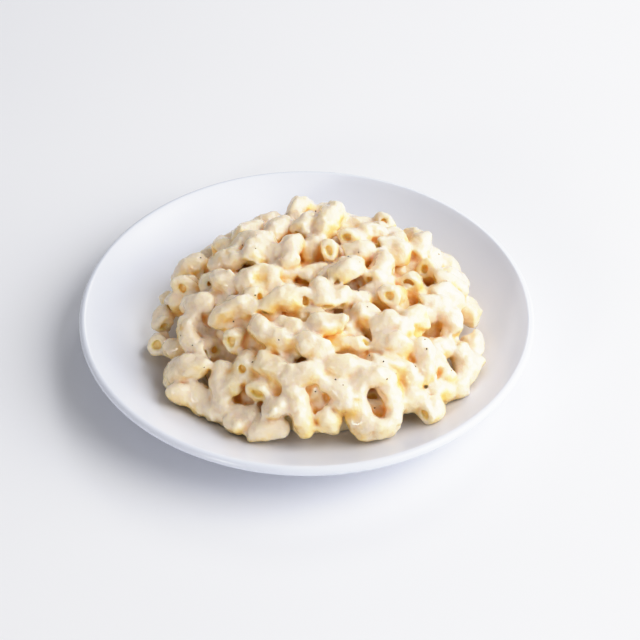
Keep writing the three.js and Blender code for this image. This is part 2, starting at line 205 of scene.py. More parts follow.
# Every noodle that shows from the front: its first end, with the mouth (x, y, lift above the
# mound), its second end (x, y, lift), then how far its middle bows to the left of that way, and
# upwards.
PLACED = (
    # crown and back edge
    (-7, 39, 1, 1, 49, 2, 0, 7),
    (14, 37, 9, 7, 19, 1, 0, 3),
    (4, 47, 2, 17, 43, 2, 0, 3),
    (-4, 21, 2, 4, 33, 0, 0, 3),
    (20, 44, -1, 30, 40, -1, 0, 3),
    (37, 40, 8, 39, 51, 0, 0, 0),
    (27, 36, -1, 37, 32, 0, 0, 2),
    (19, 16, 3, 26, 28, -4, 0, 1),
    (25, 22, 1, 36, 23, 0, 2, 3),
    # left shoulder
    (-32, 21, 3, -23, 35, -1, 0, 2),
    (-29, 36, -1, -12, 41, -3, 0, 3),
    (-57, 25, -6, -45, 35, -6, 0, 1),
    (-41, 43, -7, -28, 50, -7, 0, 1),
    (-20, 52, -7, -6, 56, -7, 0, 1),
    (-39, 33, -4, -42, 20, 1, 0, 2),
    (-34, 9, 0, -17, 12, 0, 5, 4),
    (-26, 0, 2, -22, 13, 2, 0, 2),
    (-8, -6, 1, -6, 13, 2, 1, 3),
    (-44, 6, 0, -31, 2, 1, 1, 3),
    (-41, -7, 1, -33, -13, -2, 0, 3),
    (-61, 13, 0, -50, 17, -2, 0, 3),
    (-18, 22, 0, -8, 31, 0, 0, 3),
    # left side
    (-59, -1, 4, -54, 9, -7, 0, 0),
    (-45, -9, 2, -46, 5, -7, 0, 0),
    (-31, -15, 1, -12, -11, 2, 2, 2),
    (-22, -25, 3, -30, -16, -6, 0, 0),
    (-66, -5, 1, -56, 2, -6, 0, 0),
    (-55, -14, 0, -44, -20, 0, 0, 4),
    (-41, -33, 1, -23, -33, 1, 4, 4),
    (-70, -12, 6, -68, -1, 0, 0, 0),
    (-71, -27, 6, -69, -17, 0, 0, 0),
    (-46, -42, 0, -50, -21, 2, 7, 3),
    # middle
    (-19, -33, 1, -3, -32, 1, 4, 3),
    (9, -33, 3, 6, -18, 0, 0, 1),
    (0, -32, 3, -2, -22, -7, 0, 0),
    (16, -30, 0, 14, -19, -1, 0, 1),
    (10, 2, 4, 12, 13, -5, 0, 0),
    (0, -9, -6, 8, 0, -6, 0, 1),
    (17, -23, -5, 29, -22, -5, 0, 2),
    (14, -14, 2, 24, -8, 1, 0, 4),
    (19, 3, 1, 29, 5, 0, 0, 3),
    (4, -43, 2, 16, -41, 1, 0, 3),
    (29, -48, 3, 10, -48, 0, 1, -4),
    (-1, -50, 2, 9, -56, 1, 0, 4),
    (22, -30, -2, 32, -34, -4, 0, 2),
    (-3, -45, 1, -12, -40, -1, 0, 2),
    # right shoulder and side
    (30, -14, 1, 36, 7, 1, -1, 3),
    (52, 19, 2, 49, 36, 1, -3, 6),
    (55, 30, 0, 62, 21, -2, 0, 3),
    (48, -9, 3, 51, 2, -6, 0, 0),
    (39, -24, 5, 43, -13, -5, 0, 0),
    (57, 7, 2, 62, 17, -5, 0, 0),
    (35, 14, 1, 46, 9, 0, 2, 3),
    (40, 28, 2, 45, 16, 1, 0, 3),
    (62, 32, 0, 71, 23, 0, 0, 3),
    (74, 20, 0, 66, 10, 0, 0, 3),
    (62, 2, 1, 74, 5, 0, 0, 3),
    (58, -10, 1, 72, -10, 0, 2, 3),
    (77, 6, -1, 77, -9, 0, 2, 1),
    (54, -19, 2, 69, -27, 1, 4, 3),
    (71, -31, 1, 70, -49, -1, 3, 2),
    (78, -16, 0, 77, -28, -1, 1, 2),
    (78, -32, 1, 76, -44, -2, 1, 2),
    (33, -40, 1, 46, -41, 1, 4, 4),
    (34, -45, 1, 46, -45, 1, -1, 3),
    (51, -43, 2, 54, -55, 0, 0, 3),
    (60, -44, 0, 64, -55, 0, 0, 3),
    (57, -57, 1, 66, -51, -2, 0, 3),
    (73, -47, 0, 69, -57, -2, 0, 2),
    # front, left of the middle
    (-34, -47, 4, -29, -37, -8, 0, 0),
    (-29, -60, 5, -24, -50, -7, 0, 0),
    (-22, -70, 4, -17, -59, -8, 0, 0),
    (-23, -40, 2, -7, -53, 2, 0, 3),
    (-20, -57, 2, -11, -61, 0, 0, 3),
    (-9, -64, 2, 7, -60, 1, -3, 3),
    (-61, -45, 0, -45, -51, 1, 4, 5),
    (-43, -66, -2, -62, -60, -3, -4, 6),
    (-50, -58, -5, -42, -62, -6, 0, 1),
    (-38, -50, -1, -36, -68, -2, 0, 2),
    (-16, -75, 1, -7, -74, -1, 0, 3),
    (-31, -69, -5, -21, -73, -5, 0, 1),
    (-31, -74, -1, -46, -68, -2, -3, 3),
    (-35, -72, 0, -28, -80, -4, 0, 2),
    (-24, -78, -2, -9, -79, -2, 0, 3),
    # front, right of the middle
    (-6, -69, 2, 1, -81, -3, 0, 3),
    (7, -77, 0, 14, -80, -3, 0, 2),
    (8, -67, 2, 19, -75, 0, 2, 3),
    (10, -60, 2, 25, -58, 1, -2, 3),
    (24, -65, 2, 31, -81, -3, -5, 2),
    (36, -64, 2, 35, -82, -3, 4, 2),
    (24, -63, 1, 38, -62, 1, 0, 3),
    (23, -79, -1, 38, -84, -3, 1, 3),
    (30, -66, -6, 31, -77, -7, 0, 0),
    (29, -57, 1, 49, -62, 0, 5, 3),
    (55, -69, 0, 55, -60, -7, 0, 0),
    (44, -66, -2, 53, -61, 1, 0, 3),
    (54, -72, -5, 63, -65, -4, 0, 2),
)


def seeded_draw(seed):
    """Numbers between 0 and 1, the same row as the solids were laid with (mulberry32)."""
    state = [seed]
    word = 0xFFFFFFFF

    def draw():
        state[0] = (state[0] + 0x6D2B79F5) & word
        mixed = state[0]
        mixed = ((mixed ^ (mixed >> 15)) * (1 | mixed)) & word
        mixed = ((mixed + (((mixed ^ (mixed >> 7)) * (61 | mixed)) & word)) & word) ^ mixed
        return (mixed ^ (mixed >> 14)) / (word + 1)

    return draw


draw = seeded_draw(SEED)
rng = np.random.default_rng(SEED)


def between(low, high):
    return low + (high - low) * draw()


# ---------------------------------------------------------------- plate and mound, as heights

def plate_z(radius):
    """Height of the plate's inner face: flat out to the well's edge, then a power of the way out."""
    past = np.maximum(0, (radius - WELL_RADIUS) / (PLATE_RADIUS - WELL_RADIUS))
    return WELL_Z + SWEEP_RISE * past ** SWEEP_POWER


def plate_slope(radius):
    """Rise of the inner face for each millimetre outwards."""
    rise = plate_z(radius + SLOPE_STEP) - plate_z(radius - SLOPE_STEP)
    return rise / (2 * SLOPE_STEP)


def heap_reach(angle):
    """The heap's radius in a direction: a circle that waves twice and three times round."""
    twice = np.cos(2 * (angle - WAVE_TWICE_FROM))
    thrice = np.cos(3 * (angle - WAVE_THRICE_FROM))
    return HEAP_RADIUS + HEAP_WAVE * (twice + thrice)


def mound_z(x, y):
    """Height of the upper noodles' middles: the plate, a noodle's radius, and a dome whose height
    is one less the squared share of the way out, to a power."""
    across = np.hypot(x - HEAP_X, y - HEAP_Y)
    share = across / heap_reach(np.arctan2(y - HEAP_Y, x - HEAP_X))
    dome = np.maximum(0, 1 - share * share) ** HEAP_FULLNESS
    return plate_z(np.hypot(x, y)) + NOODLE_RADIUS + HEAP_RISE * dome


def unit(vectors):
    """Each vector divided by its own length."""
    return vectors / np.maximum(np.linalg.norm(vectors, axis=-1, keepdims=True), SHORTEST)


def dot(one, other):
    """Scalar product of vectors in rows, kept as a column."""
    return (one * other).sum(-1, keepdims=True)


def mound_normal(x, y):
    """The mound's upward normal, from its slope over a short step each way."""
    along_x = mound_z(x + SLOPE_STEP, y) - mound_z(x - SLOPE_STEP, y)
    along_y = mound_z(x, y + SLOPE_STEP) - mound_z(x, y - SLOPE_STEP)
    return unit(np.stack([-along_x, -along_y, np.full_like(along_x, 2 * SLOPE_STEP)], -1))


# ---------------------------------------------------------------- noodles, as arcs

class Arcs:
    """Round arcs, one for each row of two ends and a bow that lifts the arc's middle off the
    straight line between them. The radius is (chord squared / 4 + bow squared) / (2 bow), and the
    half angle twice the arctangent of 2 bow / chord."""

    def __init__(self, first, second, bow_vector, spare):
        middle = (first + second) / 2
        chord = np.linalg.norm(second - first, axis=1, keepdims=True)
        self.along = unit(second - first)
        bow_vector = bow_vector - dot(bow_vector, self.along) * self.along
        size = np.linalg.norm(bow_vector, axis=1, keepdims=True)
        bow = np.maximum(size, LEAST_BOW)
        self.bulge = np.where(size > STRAIGHT, unit(bow_vector), spare)
        self.radius = (chord ** 2 / 4 + bow ** 2) / (2 * bow)
        self.half = 2 * np.arctan2(2 * bow, chord)
        self.centre = middle + self.bulge * (bow - self.radius)
        self.sideways = np.cross(self.bulge, self.along)

    def point(self, share):
        """The place at a share of the way along, raised until a whole noodle clears the plate."""
        angle = self.half * (2 * share - 1)
        out = self.along * np.sin(angle) + self.bulge * np.cos(angle)
        place = self.centre + out * self.radius
        reach = np.hypot(place[:, 0], place[:, 1])
        room = (NOODLE_RADIUS + CLEARANCE) * np.hypot(1, plate_slope(reach))
        place[:, 2] = np.maximum(place[:, 2], plate_z(reach) + room)
        return place


def laid_arcs(rows):
    """The arcs of rows of two ends and a bow, which stand on the mound."""
    ax, ay, lift_a, bx, by, lift_b, side, up = np.asarray(rows, float).reshape(-1, 8).T
    first = np.stack([ax, ay, mound_z(ax, ay) + lift_a], 1)
    second = np.stack([bx, by, mound_z(bx, by) + lift_b], 1)
    along = unit(second - first)
    middle = (first + second) / 2
    outward = mound_normal(middle[:, 0], middle[:, 1])
    outward = unit(outward - dot(outward, along) * along)
    left = np.cross(outward, along)
    return Arcs(first, second, left * side[:, None] + outward * up[:, None], outward)


def raised_arcs(rows):
    """The same arcs, each run again through its two ends and middle where the plate raised them."""
    arcs = laid_arcs(rows)
    first, middle, second = (arcs.point(share) for share in (0.0, 0.5, 1.0))
    return Arcs(first, second, middle - (first + second) / 2, arcs.bulge)


def sunflower(spots, edge):
    """Directions and distances of spots on a sunflower spiral, from the heap's edge inwards."""
    for i in reversed(range(spots)):
        angle = i * GOLDEN_ANGLE
        yield angle, (heap_reach(angle) - edge) * math.sqrt((i + 0.5) / spots)


def far_side(inset):
    """Directions and distances of evenly spaced spots along the heap's far side."""
    for angle in np.linspace(*FAR_SIDE, FAR_SPOTS):
        yield angle, heap_reach(angle) - inset


def laid_by_rule(taken, spots, room, sinks, mouths=()):
    """Rows for spots on the heap, each skipped where a noodle already lies within the room, or
    where it would run across a placed mouth."""
    rows = []
    for angle, away in spots:
        heading = 2 * math.pi * draw()
        length = between(*FILLER_LENGTH)
        bow = between(*FILLER_BOW)
        lean = math.pi * draw()
        sink = between(*sinks)
        tilt = between(*FILLER_TILT)
        x = HEAP_X + away * math.cos(angle)
        y = HEAP_Y + away * math.sin(angle)
        spot = np.array([x, y, mound_z(x, y) + sink])
        if (np.linalg.norm(taken - spot, axis=1) < room).any():
            continue
        flat = mound_normal(np.array(x), np.array(y))[2]
        step_x = length / 2 * math.cos(heading) * flat
        step_y = length / 2 * math.sin(heading) * flat
        row = [x - step_x, y - step_y, sink + tilt, x + step_x, y + step_y, sink - tilt]
        row += [bow * math.cos(lean), bow * math.sin(lean)]
        own = middle_points([row])
        if any((np.linalg.norm(own - mouth, axis=1) < MOUTH_ROOM).any() for mouth in mouths):
            continue
        rows.append(row)
        taken = np.vstack([taken, own])
    return rows, taken


def middle_points(rows):
    """Points along the middles of all rows, for keeping the next noodles off them."""
    arcs = laid_arcs(rows)
    return np.vstack([arcs.point(i / (SAMPLES - 1)) for i in range(SAMPLES)])


def points_ahead(rows):
    """A point a little way out of each row's first end, which the next noodles stay clear of."""
    arcs = laid_arcs(rows)
    return arcs.point(-MOUTH_AHEAD / (2 * arcs.half * arcs.radius))


def noodle_radius():
    return NOODLE_RADIUS * (1 + NOODLE_SPREAD * (2 * draw() - 1))


def all_noodles():
    """Every noodle's arc and radius: those that the solids have first, then the scene's own. The
    solids draw two numbers for each of theirs, and the second is passed over here."""
    taken = middle_points(PLACED)
    mouths = points_ahead(PLACED)
    spots = sunflower(FILLER_SPOTS, FILLER_EDGE)
    more, taken = laid_by_rule(taken, spots, FILLER_ROOM, FILLER_SINK, mouths)
    rows = [*PLACED, *more]
    radii = []
    for _ in rows:
        radii.append(noodle_radius())
        draw()
    layers = [(sunflower(count, edge), room, sinks) for count, edge, room, sinks in LAYERS]
    layers += [(far_side(inset), FAR_ROOM, sinks) for inset, sinks in FAR_ROWS]
    for layer in layers:
        more, taken = laid_by_rule(taken, *layer)
        rows += more
        radii += [noodle_radius() for _ in more]
    return raised_arcs(rows), np.array(radii)


# ---------------------------------------------------------------- the heap, as a distance field

class Noodles:
    """All noodles and what sets each apart: its section's flattening, the slant of its cut ends,
    how open each end is, and its tint. A placed noodle's first end is open and its second shut."""

    def __init__(self):
        self.arcs, self.radii = all_noodles()
        count = len(self.radii)
        self.flatten = rng.uniform(-FLATTENING, FLATTENING, count)
        self.slant = rng.uniform(-SLANT, SLANT, (count, 2))
        self.open = rng.uniform(0.0, 1.0, (count, 2))
        self.open[:len(PLACED)] = (1.0, 0.0)
        self.tint = rng.uniform(-1, 1, count)
        self.rounding = np.where(self.open > SHUT, RIM_ROUNDING, STUB_ROUNDING)

    def local(self, i, x, y, z):
        """Where points lie in noodle i: offset out of its bend, sideways, angle from its middle."""
        arcs = self.arcs
        dx, dy, dz = x - arcs.centre[i, 0], y - arcs.centre[i, 1], z - arcs.centre[i, 2]
        a, b, s = (dx * v[0] + dy * v[1] + dz * v[2]
                   for v in (arcs.along[i], arcs.bulge[i], arcs.sideways[i]))
        return np.hypot(a, b) - arcs.radius[i, 0], s, np.arctan2(a, b)

    def distance(self, i, x, y, z):
        """Signed distance to noodle i, a bent cylinder with rounded rims: the length of what is
        left outside a box in the plane of (distance from its line, distance past its end). Also
        the same for its bore, which is a thinner cylinder from just outside to some way in."""
        arcs = self.arcs
        out, side, angle = self.local(i, x, y, z)
        off_line = np.hypot(out * (1 + self.flatten[i]), side * (1 - self.flatten[i]))
        end = (angle > 0).astype(np.int8)
        slant = self.slant[i][end].astype(np.float32)
        past = (np.abs(angle) - arcs.half[i, 0]) * arcs.radius[i, 0] + slant * out
        rounding = self.rounding[i][end].astype(np.float32)
        across = off_line - self.radii[i] + rounding
        beyond = past + rounding
        tube = np.hypot(np.maximum(across, 0), np.maximum(beyond, 0))
        tube += np.minimum(np.maximum(across, beyond), 0) - rounding
        openness = self.open[i][end].astype(np.float32)
        bore_radius = BORE_RADIUS * (NARROWEST + (1 - NARROWEST) * openness)
        depth = np.where(openness > SHUT, BORE_DEPTH * openness, -BORE_REACH)
        bore = np.maximum(off_line - bore_radius, -past - depth)
        bore = np.maximum(bore, past - BORE_REACH)
        return tube, bore

    def box(self, i, margin):
        """Lowest and highest corner of the box around noodle i, with a margin."""
        arcs = self.arcs
        angle = arcs.half[i] * np.linspace(-1, 1, BOX_SAMPLES)[:, None]
        out = arcs.along[i] * np.sin(angle) + arcs.bulge[i] * np.cos(angle)
        line = arcs.centre[i] + arcs.radius[i] * out
        pad = self.radii[i] * WIDEST + margin
        return line.min(0) - pad, line.max(0) + pad


def smooth_max(one, other, width):
    """The larger of two fields, with the crease between them rounded over the width."""
    mix = np.clip(0.5 + (one - other) / (2 * width), 0, 1)
    return other + (one - other) * mix + width * mix * (1 - mix)


def spline_weights(count, spacing, cell):
    """Cubic B-spline weights that carry a coarse row of numbers to a fine one."""
    place = np.arange(count) * spacing / cell
    base = place.astype(int)
    t = place - base
    taps = ((1 - t) ** 3, 3 * t ** 3 - 6 * t ** 2 + 4, -3 * t ** 3 + 3 * t ** 2 + 3 * t + 1, t ** 3)
    weights = np.zeros((count, base[-1] + 4), np.float32)
    for tap, weight in enumerate(taps):
        weights[np.arange(count), base + tap] = weight / 6
    return weights


def smooth_noise(shape, cell):
    """Rolling noise over the grid: random numbers on a lattice of the cell, carried to every
    voxel with cubic splines along the three axes, and scaled to a deviation of one."""
    ways = [spline_weights(count, VOXEL, cell) for count in shape]
    lattice = rng.standard_normal([way.shape[1] for way in ways]).astype(np.float32)
    noise = np.einsum("ia,abc->ibc", ways[0], lattice)
    noise = np.einsum("jb,ibc->ijc", ways[1], noise)
    noise = np.einsum("kc,ijc->ijk", ways[2], noise)
    return noise / noise.std()


class Grid:
    """A box of voxels around the heap, and what is done with the fields on it."""

    def __init__(self, low, high):
        self.low = np.floor(np.asarray(low) / VOXEL) * VOXEL
        self.shape = tuple(int(n) for n in np.ceil((np.asarray(high) - self.low) / VOXEL) + 1)
        lines = (start + VOXEL * np.arange(count) for start, count in zip(self.low, self.shape))
        self.axes = [line.astype(np.float32) for line in lines]

    def window(self, low, high):
        """Slices and open coordinate arrays for the voxels between two corners."""
        first = np.clip(np.ceil((low - self.low) / VOXEL).astype(int), 0, self.shape)
        last = np.clip(np.floor((high - self.low) / VOXEL).astype(int) + 1, 0, self.shape)
        part = tuple(slice(a, b) for a, b in zip(first, last))
        x, y, z = (axis[cut] for axis, cut in zip(self.axes, part))
        return part, x[:, None, None], y[None, :, None], z[None, None, :]

    def polygons(self, field, level):
        """The surface where the field has a level, as squares and points, which are counted in
        voxels from the grid's lowest corner."""
        volume = openvdb.FloatGrid(background=FAR)
        volume.copyFromArray(np.ascontiguousarray(field, np.float32))
        points, _, squares = volume.convertToPolygons(level, 0.0)
        return points, squares

    def closed(self, field, bridge):
        """The field with every gap filled that a ball of the bridge's radius can't enter: its
        surface is moved out by the bridge, measured again, and moved back in."""
        points, squares = self.polygons(field, bridge)
        volume = openvdb.FloatGrid.createLevelSetFromPolygons(
            points, quads=squares, exBandWidth=BAND, inBandWidth=bridge / VOXEL + BAND)
        again = np.empty(self.shape, np.float32)
        volume.copyToArray(again)
        return np.minimum(field, again * VOXEL + bridge)

    def sample(self, field, points):
        """The field at any points, by the weighted mean of the eight voxels around each."""
        place = (points - self.low) / VOXEL
        base = np.clip(place.astype(int), 0, np.array(self.shape) - 2)
        t = place - base
        total = np.zeros(len(points))
        for corner in np.ndindex(2, 2, 2):
            at = base + corner
            weight = np.prod(np.where(corner, t, 1 - t), axis=1)
            total += weight * field[at[:, 0], at[:, 1], at[:, 2]]
        return total


def box_blur(field, reach):
    """The mean over a box of voxels, as differences of running sums along each axis."""
    for axis in range(3):
        edges = [(reach + 1, reach) if a == axis else (0, 0) for a in range(3)]
        padded = np.pad(field, edges, "edge")
        running = np.cumsum(padded, axis=axis, dtype=np.float64)
        count = field.shape[axis]
        upper = np.take(running, np.arange(count) + 2 * reach + 1, axis=axis)
        lower = np.take(running, np.arange(count), axis=axis)
        field = ((upper - lower) / (2 * reach + 1)).astype(np.float32)
    return field


def heap_fields(noodles):
    """The grid, the sauced heap's distance field, how full each place's wide and close
    surroundings are, the bores' field, and the warp. The noodles blend as minus the logarithm of
    the sum of exponentials of minus their distances; sauce bridges the gaps; then the bores are
    cut."""
    boxes = [noodles.box(i, MARGIN) for i in range(len(noodles.radii))]
    lows, highs = zip(*boxes)
    grid = Grid(np.min(lows, axis=0), np.max(highs, axis=0))
    total = np.zeros(grid.shape, np.float32)
    nearest = np.full(grid.shape, FAR, np.float32)
    second = np.full(grid.shape, FAR, np.float32)
    owner = np.full(grid.shape, -1, np.int16)
    warp = [WARP * smooth_noise(grid.shape, WARP_CELL) for _ in range(3)]
    kept = []
    for i, (low, high) in enumerate(boxes):
        part, x, y, z = grid.window(low, high)
        x, y, z = (line + shift[part] for line, shift in zip((x, y, z), warp))
        tube, bore = noodles.distance(i, x, y, z)
        total[part] += np.exp(-tube / BLEND)
        closer = tube < nearest[part]
        second[part] = np.where(closer, nearest[part], np.minimum(second[part], tube))
        owner[part] = np.where(closer, i, owner[part])
        nearest[part] = np.minimum(nearest[part], tube)
        kept.append((part, tube, bore))
    field = -BLEND * np.log(np.maximum(total, TINY))

    x, y, z = grid.axes[0][:, None], grid.axes[1][None, :], grid.axes[2][None, None, :]
    flatness = mound_normal(*np.broadcast_arrays(x, y))[..., 2]
    core = (z - (mound_z(x, y) - CORE_DEPTH)[..., None]) * flatness[..., None]
    edge = heap_reach(np.arctan2(y - HEAP_Y, x - HEAP_X)) - CORE_INSET
    core = np.maximum(core, (np.hypot(x - HEAP_X, y - HEAP_Y) - edge)[..., None])
    cell, height = CORE_LUMPS
    core += height * smooth_noise(grid.shape, cell)
    field = -smooth_max(-field, -core, CORE_BLEND).astype(np.float32)

    thin = grid.closed(field, THIN_BRIDGE)
    thick = grid.closed(field, THICK_BRIDGE)
    sauciness = SAUCE_MEAN
    for cell, height in SAUCE_PATCHES:
        sauciness = sauciness + height * smooth_noise(grid.shape, cell)
    field = thin + (thick - thin) * np.clip(sauciness, 0, 1)
    field -= SAUCE_COAT
    for cell, height in LUMPS:
        field -= height * smooth_noise(grid.shape, cell)

    bores = np.full(grid.shape, FAR, np.float32)
    for i, (part, tube, bore) in enumerate(kept):
        others = np.where(owner[part] == i, second[part], nearest[part])
        bore = np.maximum(bore, tube - others + BORE_WALL)
        bores[part] = np.minimum(bores[part], bore)
    field = smooth_max(field, -bores, BORE_ROUNDING)

    away = np.hypot(x, y)
    below = (plate_z(away) + CLEARANCE)[..., None] - z
    below /= np.hypot(1, plate_slope(away))[..., None]
    field = np.maximum(field, below)
    field[[0, -1]] = OUTSIDE
    field[:, [0, -1]] = OUTSIDE
    field[:, :, [0, -1]] = OUTSIDE
    solid = (field < 0).astype(np.float32)
    around = [box_blur(solid, round(reach / VOXEL)) for reach in (HOLLOW_REACH, CREASE_REACH)]
    return grid, field.astype(np.float32), around, bores, warp


def largest_shell(points, squares):
    """Only the biggest connected part of a mesh of squares, found by passing the lowest label
    along every edge until nothing changes."""
    label = np.arange(len(points))
    ends = np.vstack([squares[:, [0, 1]], squares[:, [1, 2]], squares[:, [2, 3]]]).astype(np.int64)
    while True:
        low = np.minimum(label[ends[:, 0]], label[ends[:, 1]])
        new = label.copy()
        np.minimum.at(new, ends[:, 0], low)
        np.minimum.at(new, ends[:, 1], low)
        new = new[new]
        if (new == label).all():
            break
        label = new
    keep = label == np.bincount(label).argmax()
    number = np.cumsum(keep) - 1
    squares = squares[keep[squares[:, 0]]]
    return points[keep], number[squares]


# ---------------------------------------------------------------- meshes

def linked(name, data):
    """A new object in the scene around its data."""
    obj = bpy.data.objects.new(name, data)
    bpy.context.scene.collection.objects.link(obj)
    return obj


def mesh_object(name, points, faces, smooth=True):
    """A mesh object from points in millimetres and an array of faces."""
    mesh = bpy.data.meshes.new(name)
    faces = np.ascontiguousarray(faces, np.int32)
    mesh.vertices.add(len(points))
    mesh.vertices.foreach_set("co", (np.asarray(points) * MM).astype(np.float32).ravel())
    mesh.loops.add(faces.size)
    mesh.loops.foreach_set("vertex_index", faces.ravel())
    mesh.polygons.add(len(faces))
    starts = np.arange(len(faces), dtype=np.int32) * faces.shape[1]
    mesh.polygons.foreach_set("loop_start", starts)
    mesh.update(calc_edges=True)
    mesh.validate()
    mesh.polygons.foreach_set("use_smooth", np.full(len(mesh.polygons), smooth))
    return linked(name, mesh)


def facing_up(mesh):
    """How far the surface at each point faces up, from -1 to 1."""
    flat = np.empty(len(mesh.vertices) * 3, np.float32)
    mesh.vertex_normals.foreach_get("vector", flat)
    return flat[2::3]


def coordinates(mesh):
    """A mesh's points in millimetres, one in each row."""
    flat = np.empty(len(mesh.vertices) * 3, np.float32)
    mesh.vertices.foreach_get("co", flat)
    return flat.reshape(-1, 3) / MM


def give(mesh, name, values, kind="FLOAT"):
    """Stores one number, or one vector, with each point."""
    key = "value" if kind == "FLOAT" else "vector"
    attribute = mesh.attributes.new(name, kind, "POINT")
    attribute.data.foreach_set(key, np.asarray(values, np.float32).ravel())


def thinned(obj, triangles):
    """The object with its mesh of squares reduced to a number of triangles, fewest where it is
    flattest."""
    modifier = obj.modifiers.new("thin", "DECIMATE")
    modifier.ratio = min(1.0, triangles / (2 * len(obj.data.polygons)))
    reduced = obj.evaluated_get(bpy.context.evaluated_depsgraph_get())
    mesh = bpy.data.meshes.new_from_object(reduced)
    obj.modifiers.clear()
    old, obj.data = obj.data, mesh
    bpy.data.meshes.remove(old)
    obj.data.name = obj.name
    obj.data.polygons.foreach_set("use_smooth", np.ones(len(obj.data.polygons), bool))
    return obj


def graded(values, start, span):
    """How far values have come along a span that begins at the start, from 0 to 1."""
    return np.clip((values - start) / span, 0, 1)


def macaroni():
    """The whole sauced heap as one mesh, with what its finish reads kept on its points."""
    noodles = Noodles()
    grid, field, (wide, close), bores, warp = heap_fields(noodles)
    points, squares = grid.polygons(field, 0.0)
    points, squares = largest_shell(points * VOXEL + grid.low, squares)
    obj = thinned(mesh_object("macaroni_in_sauce", points, squares), TRIANGLES)
    points = coordinates(obj.data)
    shifted = points + np.stack([grid.sample(shift, points) for shift in warp], 1)
    nearest = np.full(len(points), FAR)
    around = np.zeros((len(points), 3))
    tint = np.zeros(len(points))
    for i in range(len(noodles.radii)):
        low, high = noodles.box(i, NOODLE_REACH)
        near = np.nonzero(((points > low) & (points < high)).all(1))[0]
        x, y, z = shifted[near].T
        tube, _ = noodles.distance(i, x, y, z)
        out, side, _ = noodles.local(i, x, y, z)
        closer = tube < nearest[near]
        near = near[closer]
        nearest[near] = tube[closer]
        off_line = np.hypot(out, side)
        around[near, 0] = (out / off_line)[closer]
        around[near, 1] = (side / off_line)[closer]
        tint[near] = noodles.tint[i]
    give(obj.data, "sauce", graded(nearest, 0, HIDING_SAUCE))
    # The bore, hollow, crease and upward readings steer the finish's painted glow and painted shade.
    give(obj.data, "bore", np.clip(0.5 - grid.sample(bores, points) / BORE_EDGE, 0, 1))
    give(obj.data, "hollow", graded(grid.sample(wide, points), *HOLLOW_RANGE))
    give(obj.data, "crease", graded(grid.sample(close, points), *CREASE_RANGE))
    give(obj.data, "upward", facing_up(obj.data))
    give(obj.data, "tint", tint)
    give(obj.data, "around", around, "FLOAT_VECTOR")
    return obj


def lathe(name, radii, heights, segments):
    """A surface of revolution about Z: each section point goes round a circle of its radius, and
    the two ends of the section, which lie on the axis, become single points."""
    turn = np.linspace(0, 2 * math.pi, segments, endpoint=False)
    inner = np.asarray(radii)[1:-1]
    rings = np.stack([np.outer(inner, np.cos(turn)), np.outer(inner, np.sin(turn)),
                      np.repeat(np.asarray(heights)[1:-1, None], segments, 1)], -1)
    points = np.vstack([rings.reshape(-1, 3), [[0, 0, heights[0]]], [[0, 0, heights[-1]]]])
    row = np.arange(len(inner) - 1)[:, None] * segments
    step = np.arange(segments)[None, :]
    after = (step + 1) % segments
    quads = np.stack([row + step, row + after, row + segments + after, row + segments + step], -1)
    quads = quads.reshape(-1, 4)
    first, last = len(points) - 2, len(points) - 1
    top = (len(inner) - 1) * segments
    step, after = step[0], after[0]
    start = np.stack([np.full(segments, first), after, step], -1)
    finish = np.stack([np.full(segments, last), top + step, top + after], -1)
    mesh = bpy.data.meshes.new(name)
    mesh.from_pydata((points * MM).tolist(), [], quads.tolist() + start.tolist() + finish.tolist())
    mesh.polygons.foreach_set("use_smooth", np.ones(len(mesh.polygons), bool))
    return linked(name, mesh)


def plate():
    """The coupe plate: a section from the middle of its underside out over the foot ring, up the
    wall's outer face, round the lip, and in along the sweep to the middle of the well."""
    def turned(x, z, radius, turn_from, turn_to, count):
        """Points on an arc of the section about (x, z)."""
        angles = np.radians(np.linspace(turn_from, turn_to, count))
        return [(x + radius * math.cos(a), z + radius * math.sin(a)) for a in angles]

    under = WELL_Z - PLATE_WALL
    section = [(0, under), (UNDERSIDE_RING, under)]
    section += [(FOOT_INNER - eases * FOOT_EASE, under - drop) for eases, drop in FOOT_CORNER]
    section += turned(FOOT_INNER + FOOT_EASE, FOOT_EASE, FOOT_EASE, 180, 270, FOOT_STEPS)
    section += turned(FOOT_OUTER - FOOT_EASE, FOOT_EASE, FOOT_EASE, 270, 360, FOOT_STEPS)
    for r in np.linspace(*OUTER_FACE):
        section.append((r, plate_z(r) - PLATE_WALL * np.hypot(1, plate_slope(r))))
    section += turned(PLATE_RADIUS - LIP_RADIUS, LIP_CENTRE_Z, LIP_RADIUS, *LIP_TURN)
    section += [(r, plate_z(r)) for r in np.linspace(*INNER_FACE)]
    section += [(r, WELL_Z) for r in (*WELL_RINGS, 0)]
    radii, heights = np.array(section, float).T
    return lathe("coupe_plate", radii, heights, PLATE_SEGMENTS)


def ball_triangles(rings, segments):
    """Triangles over a ball of points: its rings from the top down, then the two poles."""
    step = np.arange(segments)
    after = (step + 1) % segments
    row = np.arange(rings - 1)[:, None] * segments
    left = np.stack([row + step, row + segments + step, row + segments + after], -1)
    right = np.stack([row + step, row + segments + after, row + after], -1)
    last = (rings - 1) * segments
    top = np.stack([np.full(segments, rings * segments), step, after], -1)
    bottom = np.stack([np.full(segments, rings * segments + 1), last + after, last + step], -1)
    return np.vstack([left.reshape(-1, 3), right.reshape(-1, 3), top, bottom])


